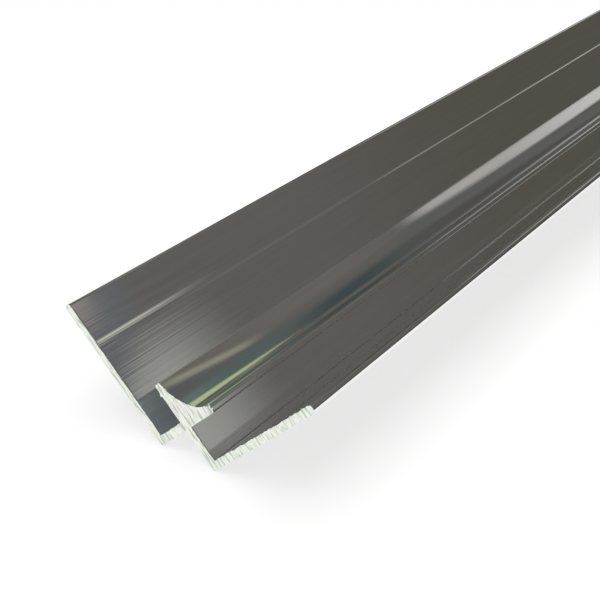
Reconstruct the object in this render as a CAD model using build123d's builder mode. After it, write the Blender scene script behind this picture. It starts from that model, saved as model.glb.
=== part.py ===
from build123d import *
import os
from math import sqrt

# Internal corner trim for wall panels: one straight aluminium extrusion, in millimetres.
# Two thin flanges lie on two walls that meet in a corner. Each flange carries an open slot
# that grips the edge of a wall panel, and a hollow cove between the slots rounds the corner off.
# The model lies as it rests on a level floor: on the two outer corners of its back, with the cove
# facing straight up. X runs along the extrusion, Y from one flange to the other, Z is up.
# The origin is at the middle of the length, on the floor, under the line of symmetry.

length = 1000.0        # cut length of the stock
flange_reach = 33.0    # from the wall corner to the free edge of either flange
flange_thickness = 1.3
web_thickness = 1.4    # the short web that forms the bottom of each slot
slot_width = 6.0       # clear gap between a flange and the lip over it
lip_reach = 15.3       # from the wall corner to the free edge of either lip
lip_edge = 1.1         # thickness of a lip at its free edge
cove_radius = 8.5
groove_centre = 25.2   # the locating line for wall screws, from the wall corner
groove_width = 1.1
groove_depth = 0.3
tip_round = 0.4        # rounding of the free edges of the flanges
back_round = 0.3       # rounding of the two back corners that the part stands on
lip_round = 0.25       # rounding of the free edges of the lips

# The open square at the back, which clears the corner bead between the two walls.
notch = flange_thickness + slot_width
slot_bottom = notch + web_thickness

# The rounded back corners stand a little above the sharp corners that the section is drawn with.
floor_line = notch / sqrt(2) + back_round * (sqrt(2) - 1)

# The cove's arc runs from the free edge of one lip to that of the other. Its axis is on the line of
# symmetry, at the same distance from both walls, and its lowest point is on that line too.
lip_front = notch + lip_edge
half_chord = (lip_reach - lip_front) / sqrt(2)
cove_axis = (lip_reach + lip_front) / 2 + sqrt((cove_radius**2 - half_chord**2) / 2)
cove_low = cove_axis - cove_radius / sqrt(2)

os.makedirs("parts", exist_ok=True)

# The section is drawn from the wall corner: its first axis runs along one wall, its second along
# the other. Both walls lean at 45 degrees, and the wall corner is below the floor line.
section_plane = Plane(
    origin=(-length / 2, 0, -floor_line),
    x_dir=(0, 1, 1),
    z_dir=(1, 0, 0),
)
symmetry = Plane(origin=(0, 0, 0), z_dir=(1, -1, 0))

with BuildPart() as profile:
    with BuildSketch(section_plane) as section:
        with BuildLine() as outline:
            # Half of the section, from the notch round one flange and one lip to the cove.
            Polyline(
                (notch, notch),
                (notch, 0),
                (flange_reach, 0),
                (flange_reach, flange_thickness),
                (groove_centre + groove_width / 2, flange_thickness),
                (groove_centre, flange_thickness - groove_depth),
                (groove_centre - groove_width / 2, flange_thickness),
                (slot_bottom, flange_thickness),
                (slot_bottom, notch),
                (lip_reach, notch),
                (lip_reach, lip_front),
            )
            RadiusArc((lip_reach, lip_front), (cove_low, cove_low), -cove_radius)
            mirror(about=symmetry)
        make_face()

        corners = section.vertices()
        back = corners.filter_by(lambda v: abs(min(v.X, v.Y)) < 0.01 and max(v.X, v.Y) < notch + 0.01)
        fillet(back, radius=back_round)
        tips = section.vertices().filter_by(lambda v: max(v.X, v.Y) > flange_reach - 0.01)
        fillet(tips, radius=tip_round)
        lips = section.vertices().filter_by(
            lambda v: abs(max(v.X, v.Y) - lip_reach) < 0.01 and min(v.X, v.Y) > notch - 0.01
        )
        fillet(lips, radius=lip_round)
    extrude(amount=length)

profile.part.label = "corner_profile"
export_step(profile.part, "parts/corner_profile.step")

box = profile.part.bounding_box()
print("size", box.size, "low", box.min, "volume", profile.part.volume)
print("section area", profile.part.volume / length)
print("thickness at the middle of the cove", (cove_low - notch) * sqrt(2))
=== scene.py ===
import bpy
import bmesh
from math import radians, sqrt
from mathutils import Matrix, Vector, noise


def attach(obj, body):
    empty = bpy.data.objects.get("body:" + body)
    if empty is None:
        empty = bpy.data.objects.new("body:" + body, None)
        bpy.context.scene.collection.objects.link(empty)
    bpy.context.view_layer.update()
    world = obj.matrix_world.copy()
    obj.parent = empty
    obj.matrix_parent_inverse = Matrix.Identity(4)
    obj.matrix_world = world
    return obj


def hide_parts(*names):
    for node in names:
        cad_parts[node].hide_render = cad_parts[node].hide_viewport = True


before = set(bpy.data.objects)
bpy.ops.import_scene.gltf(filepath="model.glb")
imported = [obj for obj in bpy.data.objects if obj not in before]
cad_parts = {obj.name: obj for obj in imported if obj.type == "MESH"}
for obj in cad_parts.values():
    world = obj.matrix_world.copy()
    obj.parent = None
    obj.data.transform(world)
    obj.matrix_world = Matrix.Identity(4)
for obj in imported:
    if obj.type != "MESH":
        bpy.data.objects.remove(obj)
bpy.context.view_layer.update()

# THE BAR
# One straight bar of aluminium, pushed through a die: two flanges at a right angle, a slot behind
# each lip for the wall panels, and a cove between the lips. Its section is drawn in millimetres
# from the wall corner: x runs out along the left flange, y along the right one.
length = 1000.0
reach = 33.0
flange = 1.3
web = 1.4
slot = 6.0
lip_end = 15.3
lip_edge = 1.1
cove_radius = 8.5
groove = 25.2
groove_half = 0.7
groove_depth = 0.085
notch = flange + slot
slot_floor = notch + web
lip_front = notch + lip_edge
half_chord = (lip_end - lip_front) / sqrt(2)
cove_axis = (lip_end + lip_front) / 2 + sqrt((cove_radius**2 - half_chord**2) / 2)

bar = bmesh.new()

def draw(points):
    # A run of straight lines through the points, as wire edges.
    drawn = [bar.verts.new((x, y, 0)) for x, y in points]
    for a, b in zip(drawn, drawn[1:]):
        bar.edges.new((a, b))
    return drawn

def verts_of(made):
    return [g for g in made["geom"] if isinstance(g, bmesh.types.BMVert)]

def turn_about(vert, x, y, angle, steps):
    bmesh.ops.spin(bar, geom=[vert], cent=(x, y, 0), axis=(0, 0, 1), angle=angle,
                   steps=steps, use_merge=False)

draw([(notch, notch), (notch, 0), (reach, 0), (reach, flange), (groove + groove_half, flange)])
lip = draw([(groove - groove_half, flange), (slot_floor, flange), (slot_floor, notch),
            (lip_end, notch), (lip_end, lip_front)])
# The groove is a shallow hollow, turned from its near rim to its far rim.
groove_radius = (groove_half**2 + groove_depth**2) / (2 * groove_depth)
groove_axis = flange - groove_depth + groove_radius
rim = Vector((-groove_half, flange - groove_axis))
turn_about(lip[0], groove, groove_axis, 2 * rim.angle(Vector((0, -1))), 12)
# The cove is turned from the lip's edge about its own axis, down to the line of symmetry.
start = Vector((lip_end - cove_axis, lip_front - cove_axis))
turn_about(lip[-1], cove_axis, cove_axis, -start.angle(Vector((-1, -1))), 24)
# The other half is the same, mirrored about the line of symmetry.
twin = bmesh.ops.duplicate(bar, geom=bar.verts[:] + bar.edges[:])
swap = Matrix(((0, 1, 0, 0), (1, 0, 0, 0), (0, 0, 1, 0), (0, 0, 0, 1)))
bmesh.ops.transform(bar, matrix=swap, verts=verts_of(twin))
bmesh.ops.remove_doubles(bar, verts=bar.verts, dist=0.001)
bmesh.ops.contextual_create(bar, geom=bar.edges)
side = bmesh.ops.extrude_face_region(bar, geom=bar.faces)
bmesh.ops.translate(bar, vec=(0, 0, length), verts=verts_of(side))

def put_in_order(elements, place):
    rank = {element: i for i, element in enumerate(sorted(elements, key=place))}
    elements.sort(key=rank.get)
    elements.index_update()

# The extrusion gives its elements in another order on each run. The saw cuts depend on that order,
# so the elements are sorted by where they are, and the bar gets the same faces every time.
put_in_order(bar.verts, lambda v: tuple(v.co))
put_in_order(bar.edges, lambda e: sorted(tuple(v.co) for v in e.verts))
put_in_order(bar.faces, lambda f: sorted(tuple(v.co) for v in f.verts))
bmesh.ops.recalc_face_normals(bar, faces=bar.faces)

# Small roundings along the long edges, as the die leaves them.
def long_edges(at):
    near = 0.01
    found = []
    for e in bar.edges:
        a, b = (v.co for v in e.verts)
        if abs(a.z - b.z) > 1 and any(abs(a.x - x) < near and abs(a.y - y) < near for x, y in at):
            found.append(e)
    return found

def both(points):
    return points + [(y, x) for x, y in points]

back_round = 0.3
tip_back_round = 0.65
tip_front_round = 0.42
lip_back_round = 0.25
lip_front_round = 0.35
groove_rim_round = 0.14
slot_corner_round = 0.12
for at, rounding, steps in (
    (both([(notch, 0)]), back_round, 5),
    (both([(reach, 0)]), tip_back_round, 7),
    (both([(reach, flange)]), tip_front_round, 5),
    (both([(lip_end, notch)]), lip_back_round, 4),
    (both([(lip_end, lip_front)]), lip_front_round, 5),
    (both([(groove + groove_half, flange), (groove - groove_half, flange)]),
     groove_rim_round, 3),
    (both([(slot_floor, flange), (slot_floor, notch)]), slot_corner_round, 3),
):
    bmesh.ops.bevel(bar, geom=long_edges(at), offset=rounding, offset_type="OFFSET",
                    segments=steps, profile=0.5, affect="EDGES", material=-1)
# Where two roundings meet they leave a seam with no width, which is closed here.
seam = 0.0005
bmesh.ops.remove_doubles(bar, verts=bar.verts, dist=seam)

bright, sawn_face, slot_face_with_painted_shade = 0, 1, 2

# Both ends are cut with a saw. It leaves a ragged rim, so the rim is divided finely, and the teeth
# leave ridges across the cut, parallel to the left flange.
burr_length = 0.25
tooth = 0.36
for z in (burr_length, length - burr_length):
    bmesh.ops.bisect_plane(bar, geom=bar.verts[:] + bar.edges[:] + bar.faces[:], dist=0.0001,
                           plane_co=(0, 0, z), plane_no=(0, 0, 1))

def at_end(vert):
    return vert.co.z < 0.001 or vert.co.z > length - 0.001

bmesh.ops.delete(bar, geom=[f for f in bar.faces if abs(f.normal.z) > 0.5], context="FACES_ONLY")
by_cuts = {}
for e in bar.edges:
    a, b = e.verts
    near_end = min(a.co.z, length - a.co.z) < burr_length + 0.001
    if near_end and abs(a.co.z - b.co.z) < 0.001 and e.calc_length() > tooth:
        by_cuts.setdefault(round(e.calc_length() / tooth), []).append(e)
for cuts, edges in sorted(by_cuts.items()):
    bmesh.ops.subdivide_edges(bar, edges=edges, cuts=cuts, use_grid_fill=True)
for z in (0, length):
    loop = [e for e in bar.edges if e.is_boundary and abs(e.verts[0].co.z - z) < 0.001]
    cut = bmesh.ops.contextual_create(bar, geom=loop)["faces"]
    for f in cut:
        f.material_index = sawn_face
    bmesh.ops.triangulate(bar, faces=cut)
ridge = 0.2
while ridge < reach:
    cap = [f for f in bar.faces if f.material_index == sawn_face]
    edges = dict.fromkeys(e for f in cap for e in f.edges)
    corners = dict.fromkeys(v for f in cap for v in f.verts)
    bmesh.ops.bisect_plane(bar, geom=cap + list(edges) + list(corners), dist=0.0001,
                           plane_co=(0, ridge, 0), plane_no=(0, 1, 0))
    ridge += tooth * (0.6 + abs(noise.noise(Vector((ridge * 7.3, 3, 1)))))

def ragged(place, size, seed):
    return noise.noise(Vector((place.x / size, place.y / size, seed + place.z * 0.01)))

def raise_burr(vert):
    # How far the rim is rolled out over the face beside it. The back, which lies on the walls, and
    # the tips stay clean, because the saw came through from the front.
    out = Vector()
    for f in vert.link_faces:
        if f.material_index == bright:
            out += f.normal
    out.z = 0
    if out.length < 0.01:
        return Vector()
    out.normalize()
    place = vert.co
    amount = 0.02 + 0.16 * ragged(place, 0.9, 5.0) + 0.12 * ragged(place, 0.35, 9.0)
    if max(place.x, place.y) > reach - 0.6 or out.x + out.y < 0.3:
        amount = min(0.0, amount) * 0.5
    return out * max(-0.05, min(0.2, amount))

burrs = {v: raise_burr(v) for v in bar.verts if at_end(v)}
for v in burrs:
    across_teeth = noise.noise(Vector((0.3, v.co.y / tooth * 0.8, 2.0)))
    depth = 0.03 + 0.035 * across_teeth + 0.02 * ragged(v.co, 0.5, 1.0)
    depth = max(0.005, depth)
    v.co += burrs[v] + Vector((0, 0, depth if v.co.z < 1 else -depth))

# A few burrs stand out as short spikes, at the right lip's edge and behind the left lip.
for x, y, out in ((lip_front, lip_end, (0.6, 0.2)), (lip_front - 0.5, lip_end, (0.1, 0.35)),
                  (lip_end - 1.6, notch, (-0.1, -0.4))):
    nearest = min((v for v in burrs if v.co.z < 1), key=lambda v: (v.co.x - x)**2 + (v.co.y - y)**2)
    nearest.co += Vector((*out, 0))

# Inside the slots, behind the lips, the faces get a rougher metal. Its darker blue-grey colour is
# painted shade of the recess with a painted bluish reflection.
def behind_lip(face):
    (x, y), (nx, ny) = face.calc_center_median().xy, face.normal.xy
    return (abs(y - notch) < 0.2 and x > slot_floor and ny < -0.98) or \
           (abs(x - notch) < 0.2 and y > slot_floor and nx < -0.98)

for f in bar.faces:
    if f.material_index == bright and behind_lip(f):
        f.material_index = slot_face_with_painted_shade

# Into the part's own frame, in metres: the wall corner is below the floor line.
floor_line = notch / sqrt(2) + back_round * (sqrt(2) - 1)
turn = Matrix((
    (0, 0, 1, -length / 2),
    (1 / sqrt(2), -1 / sqrt(2), 0, 0),
    (1 / sqrt(2), 1 / sqrt(2), 0, -floor_line),
    (0, 0, 0, 1),
))
bmesh.ops.transform(bar, matrix=Matrix.Scale(0.001, 4) @ turn, verts=bar.verts)
bmesh.ops.recalc_face_normals(bar, faces=bar.faces)
for f in bar.faces:
    f.smooth = True
for e in bar.edges:
    if len(e.link_faces) == 2:
        a, b = e.link_faces
        areas = sorted((a.calc_area(), b.calc_area()))
        flat = areas[1] > 2.2 * areas[0]
        same = a.material_index == b.material_index
        e.smooth = same and e.calc_face_angle(0) < radians(20) and not flat
mesh = bpy.data.meshes.new("corner_profile_bright")
bar.to_mesh(mesh)
bar.free()
profile = bpy.data.objects.new("corner_profile_bright", mesh)
bpy.context.scene.collection.objects.link(profile)

# The skin is bright and smooth. Fine die lines run along the whole bar and streak whatever it
# mirrors, over a long, shallow waviness.
skin = bpy.data.materials.new("bright_aluminium")
skin.use_nodes = True
metal = skin.node_tree.nodes["Principled BSDF"]
metal.inputs["Metallic"].default_value = 1.0

def grain(tree, name, cell, detail, turned=0.0):
    # Noise in cells of the given size in metres, along x and across it.
    place = tree.nodes.new("ShaderNodeTexCoord")
    fit = tree.nodes.new("ShaderNodeMapping")
    fit.vector_type = "TEXTURE"
    fit.inputs["Rotation"].default_value = (radians(turned), 0, 0)
    fit.inputs["Scale"].default_value = cell
    tree.links.new(place.outputs["Object"], fit.inputs["Vector"])
    pattern = tree.nodes.new("ShaderNodeTexNoise")
    pattern.name = name
    pattern.inputs["Scale"].default_value = 1.0
    pattern.inputs["Detail"].default_value = detail
    tree.links.new(fit.outputs["Vector"], pattern.inputs["Vector"])
    return pattern.outputs["Fac"]

def relief(tree, height, depth, under=None):
    bump = tree.nodes.new("ShaderNodeBump")
    bump.inputs["Distance"].default_value = depth
    tree.links.new(height, bump.inputs["Height"])
    if under is not None:
        tree.links.new(under, bump.inputs["Normal"])
    return bump.outputs["Normal"]

def shade(tree, fac, low, high, start=0.3, end=0.7):
    # A colour or grey that goes from low to high as the noise rises.
    ramp = tree.nodes.new("ShaderNodeValToRGB")
    ramp.color_ramp.elements[0].position = start
    ramp.color_ramp.elements[0].color = (*low, 1)
    ramp.color_ramp.elements[1].position = end
    ramp.color_ramp.elements[1].color = (*high, 1)
    tree.links.new(fac, ramp.inputs["Fac"])
    return ramp.outputs["Color"]

tree = skin.node_tree
waves = grain(tree, "waviness", (0.12, 0.006, 0.006), 0.0)
lines = grain(tree, "die_lines", (0.11, 0.00036, 0.00036), 2.0)
polish = grain(tree, "polish", (0.02, 0.0009, 0.0009), 3.0)
wave_height = 0.000012
line_height = 0.0000055
tree.links.new(relief(tree, lines, line_height, relief(tree, waves, wave_height)),
               metal.inputs["Normal"])
tree.links.new(shade(tree, polish, (0.86, 0.86, 0.85), (0.90, 0.90, 0.89)),
               metal.inputs["Base Color"])
tree.links.new(shade(tree, polish, (0.05,) * 3, (0.09,) * 3), metal.inputs["Roughness"])
profile.data.materials.append(skin)

# The sawn metal of the ends is paler and rough, streaked across by the saw's teeth.
sawn = bpy.data.materials.new("sawn_aluminium")
sawn.use_nodes = True
raw = sawn.node_tree.nodes["Principled BSDF"]
raw.inputs["Metallic"].default_value = 0.8
raw.inputs["Roughness"].default_value = 0.5
tree = sawn.node_tree
streaks = grain(tree, "saw_streaks", (0.01, 0.003, 0.00045), 4.0, 45)
scuffs = grain(tree, "scuffs", (0.001, 0.001, 0.0006), 4.0, 45)
streak_height = 0.00006
scuff_height = 0.00003
tree.links.new(relief(tree, streaks, streak_height, relief(tree, scuffs, scuff_height)),
               raw.inputs["Normal"])
tree.links.new(shade(tree, streaks, (0.52, 0.56, 0.49), (0.86, 0.89, 0.82), 0.36, 0.52),
               raw.inputs["Base Color"])
profile.data.materials.append(sawn)

# Inside the slots the metal is rougher, with faint drag lines along it. Its darker blue-grey colour
# is painted shade of the recess with a painted bluish reflection.
slot_metal_with_painted_shade = bpy.data.materials.new("slot_aluminium_with_painted_shade")
slot_metal_with_painted_shade.use_nodes = True
inner = slot_metal_with_painted_shade.node_tree.nodes["Principled BSDF"]
inner.inputs["Metallic"].default_value = 0.6
tree = slot_metal_with_painted_shade.node_tree
drag = grain(tree, "drag_lines", (0.03, 0.0004, 0.0004), 3.0)
# The blue-grey base colour is painted shade with a painted bluish reflection, not the metal's own
# colour.
tree.links.new(shade(tree, drag, (0.56, 0.63, 0.68), (0.68, 0.76, 0.81)),
               inner.inputs["Base Color"])
tree.links.new(shade(tree, drag, (0.45,) * 3, (0.6,) * 3), inner.inputs["Roughness"])
tree.links.new(relief(tree, drag, 0.00001), inner.inputs["Normal"])
profile.data.materials.append(slot_metal_with_painted_shade)

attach(profile, "root")
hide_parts("corner_profile")

# THE CAMERA
# It stands in front of the sawn end, a hand above it, and looks down along the bar.
lens = bpy.data.cameras.new("camera")
lens.lens = 66.22
lens.sensor_width = 36
lens.clip_start = 0.001
camera = bpy.data.objects.new("camera", lens)
bpy.context.scene.collection.objects.link(camera)
camera.location = (-0.5952, -0.09088, 0.10227)
camera.rotation_euler = (radians(60.04), radians(0.276), radians(-53.83))
bpy.context.scene.camera = camera

# THE TABLE
# A plain white sheet that reaches far past the picture. The eye and the mirror-bright metal see it
# partly by its own light, so it stays white and still keeps a soft shadow.
sheet = bmesh.new()
bmesh.ops.create_grid(sheet, x_segments=1, y_segments=1, size=15)
ground = bpy.data.meshes.new("floor")
sheet.to_mesh(ground)
sheet.free()
floor = bpy.data.objects.new("floor", ground)
bpy.context.scene.collection.objects.link(floor)
paper = bpy.data.materials.new("white_paper")
paper.use_nodes = True
tree = paper.node_tree
matt = tree.nodes["Principled BSDF"]
matt.inputs["Base Color"].default_value = (0.93, 0.93, 0.93, 1)
matt.inputs["Roughness"].default_value = 0.9
white = tree.nodes.new("ShaderNodeEmission")
path = tree.nodes.new("ShaderNodeLightPath")

def larger(a, b):
    pick = tree.nodes.new("ShaderNodeMath")
    pick.operation = "MAXIMUM"
    tree.links.new(a, pick.inputs[0])
    tree.links.new(b, pick.inputs[1])
    return pick.outputs["Value"]

seen = larger(larger(path.outputs["Is Camera Ray"], path.outputs["Is Glossy Ray"]),
              path.outputs["Is Transmission Ray"])
share = tree.nodes.new("ShaderNodeMath")
share.operation = "MULTIPLY"
own_light = 0.65
share.inputs[1].default_value = own_light
tree.links.new(seen, share.inputs[0])
blend = tree.nodes.new("ShaderNodeMixShader")
tree.links.new(share.outputs["Value"], blend.inputs["Fac"])
tree.links.new(matt.outputs["BSDF"], blend.inputs[1])
tree.links.new(white.outputs["Emission"], blend.inputs[2])
tree.links.new(blend.outputs["Shader"], tree.nodes["Material Output"].inputs["Surface"])
ground.materials.append(paper)

# THE STUDIO
# A light wall behind the camera and a softbox overhead light the bar and the table. The far half of
# the room is dim, with soft panels that the bright metal mirrors.
world = bpy.data.worlds.new("studio")
bpy.context.scene.world = world
world.use_nodes = True
room = world.node_tree
sight = room.nodes.new("ShaderNodeTexCoord")
split = room.nodes.new("ShaderNodeSeparateXYZ")
room.links.new(sight.outputs["Generated"], split.inputs["Vector"])

def reckon(kind, *values):
    step = room.nodes.new("ShaderNodeMath")
    step.operation = kind
    for i, value in enumerate(values):
        if isinstance(value, (int, float)):
            step.inputs[i].default_value = value
        else:
            room.links.new(value, step.inputs[i])
    return step.outputs["Value"]

def rise(value, at, soft):
    # 0 below the mark and 1 above it, with a soft edge.
    ramp = room.nodes.new("ShaderNodeMapRange")
    ramp.interpolation_type = "SMOOTHSTEP"
    ramp.inputs["From Min"].default_value = at - soft
    ramp.inputs["From Max"].default_value = at + soft
    room.links.new(value, ramp.inputs["Value"])
    return ramp.outputs["Result"]

# A panel is placed by how far ahead it is along the bar, from 0 abreast of it to 1 straight down
# it, and by its angle round the bar, in degrees from overhead to the left.
ahead = split.outputs["X"]
around = reckon("DEGREES", reckon("ARCTAN2", split.outputs["Y"], split.outputs["Z"]))

def panel(under, colour, along, across, soft, slant=0.0):
    angle = around
    if slant:
        lean = reckon("MULTIPLY", reckon("SUBTRACT", ahead, along[0]), slant)
        angle = reckon("SUBTRACT", around, lean)
    reach_in = reckon("SUBTRACT", rise(ahead, along[0], soft[0]), rise(ahead, along[1], soft[0]))
    width_in = reckon("SUBTRACT", rise(angle, across[0], soft[1]), rise(angle, across[1], soft[1]))
    return lay(under, colour, reckon("MULTIPLY", reach_in, width_in))

def lay(under, colour, amount):
    mix = room.nodes.new("ShaderNodeMixRGB")
    room.links.new(amount, mix.inputs["Fac"])
    if isinstance(under, tuple):
        mix.inputs["Color1"].default_value = (*under, 1)
    else:
        room.links.new(under, mix.inputs["Color1"])
    mix.inputs["Color2"].default_value = (*colour, 1)
    return mix.outputs["Color"]

tone = (0.119, 0.115, 0.107)
tone = panel(tone, (0.091, 0.087, 0.072), along=(0.78, 1.3), across=(-80, -30), soft=(0.08, 4))
tone = panel(tone, (0.082, 0.08, 0.074), along=(0.78, 1.3), across=(18, 110), soft=(0.03, 8))
tone = panel(tone, (0.145, 0.133, 0.124), along=(0.6, 0.76), across=(-32, 14), soft=(0.03, 10))
tone = panel(tone, (0.101, 0.108, 0.108), along=(0.3, 0.62), across=(-4, 26), soft=(0.03, 8))
tone = panel(tone, (0.096, 0.122, 0.116), along=(0.3, 0.69), across=(26, 76), soft=(0.03, 8))
tone = panel(tone, (0.133, 0.177, 0.167), along=(0.3, 0.615), across=(34, 54), soft=(0.02, 8))
tone = panel(tone, (0.055, 0.072, 0.074), along=(0.69, 0.77), across=(36, 90), soft=(0.03, 14))
tone = panel(tone, (0.293, 0.299, 0.236), along=(0.585, 0.655), across=(-21, -9),
             soft=(0.012, 5), slant=440)
tone = panel(tone, (0.43, 0.52, 0.275), along=(0.5, 0.675), across=(39, 58),
             soft=(0.02, 3.5), slant=160)
tone = panel(tone, (0.411, 0.405, 0.383), along=(0.782, 1.3), across=(-21, 14), soft=(0.012, 5))
tone = panel(tone, (0.577, 0.571, 0.552), along=(0.865, 1.3), across=(-21, 14), soft=(0.03, 6))
tone = panel(tone, (0.116, 0.119, 0.111), along=(0.76, 1.3), across=(-10, 26),
             soft=(0.02, 9), slant=270)
tone = panel(tone, (0.337, 0.342, 0.317), along=(0.3, 0.625), across=(-62, -41), soft=(0.035, 2.0))
tone = panel(tone, (0.127, 0.133, 0.145), along=(0.3, 0.6), across=(-69.4, -50),
             soft=(0.014, 1.3), slant=100)
tone = panel(tone, (0.28, 0.254, 0.249), along=(0.3, 0.574), across=(-38.2, -30), soft=(0.006, 0.8))
tone = panel(tone, (0.656, 0.656, 0.585), along=(0.3, 0.615), across=(-76, -58), soft=(0.03, 2))
tone = panel(tone, (0.026, 0.026, 0.025), along=(0.2, 1.3), across=(-100, -74), soft=(0.05, 4))
tone = panel(tone, (0.026, 0.026, 0.025), along=(0.2, 1.3), across=(78, 100), soft=(0.05, 5))
# Abreast of the bar the room is an even grey, so the bar reads as silver from its sides.
tone = lay(tone, (0.32, 0.32, 0.31), reckon("SUBTRACT", 1.0, rise(ahead, 0.2, 0.2)))
# Low down the room is dark, and the wall behind the camera is light down to the table.
tone = lay(tone, (0.02, 0.02, 0.02), reckon("SUBTRACT", 1.0, rise(split.outputs["Z"], 0.10, 0.08)))
tone = lay(tone, (0.95, 0.95, 0.95), reckon("SUBTRACT", 1.0, rise(ahead, -0.35, 0.15)))
room.links.new(tone, room.nodes["Background"].inputs["Color"])

# The softbox lights without being mirrored: its hard edge would show as a break in the bar.
box = bpy.data.lights.new("softbox", "AREA")
box.shape = "RECTANGLE"
box.size = 1.6
box.size_y = 1.2
box.energy = 20
overhead = bpy.data.objects.new("softbox", box)
bpy.context.scene.collection.objects.link(overhead)
overhead.location = (-0.5, 0.0, 1.5)
overhead.visible_glossy = False
bpy.context.scene.view_settings.view_transform = "Standard"
